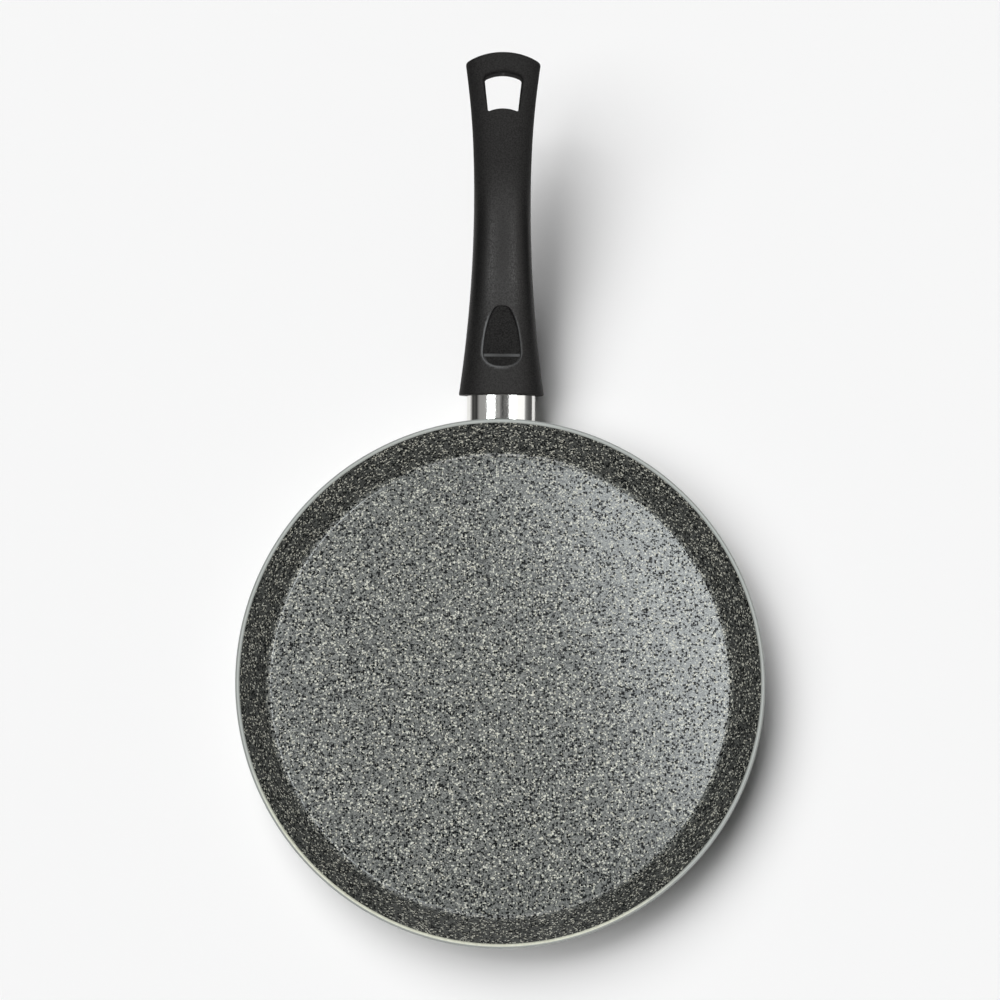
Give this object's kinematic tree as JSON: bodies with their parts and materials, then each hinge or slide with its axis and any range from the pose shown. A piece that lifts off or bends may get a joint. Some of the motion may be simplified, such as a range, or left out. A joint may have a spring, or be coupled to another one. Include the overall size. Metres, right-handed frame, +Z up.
{
  "type": "griddle pan",
  "caption": "Round shallow non-stick griddle pan with a low flared wall, a polished flame guard, and a waisted black handle with a thumb rest and an arched hanging hole.",
  "frame": {"origin": "centre of the pan's flat underside, on the surface that it stands on", "axes": "+Y from the pan's centre out along the handle, +Z up out of the pan, +X to the right when the handle points away"},
  "size_m": [0.26, 0.4424, 0.0712],
  "materials": {
    "coated_aluminium": "pressed aluminium with a sage-grey satin lacquer outside, and coated inside",
    "stone_coating": "charcoal non-stick coating on the inside of the pan, with cream, grey and black stone specks and a silvery sheen",
    "zinc_steel": "dull zinc plate",
    "polished_steel": "mirror-polished stainless steel",
    "black_phenolic": "moulded black phenolic with a soft satin sheen",
    "screw_steel": "bright zinc plate",
    "spring_steel": "plain spring steel"
  },
  "bodies": {
    "root": {"pan_body": "coated_aluminium", "handle_bracket": "zinc_steel", "flame_guard": "polished_steel", "handle_grip": "black_phenolic", "handle_screw": "screw_steel", "lock_washer": "spring_steel"}
  },
  "joints": []
}
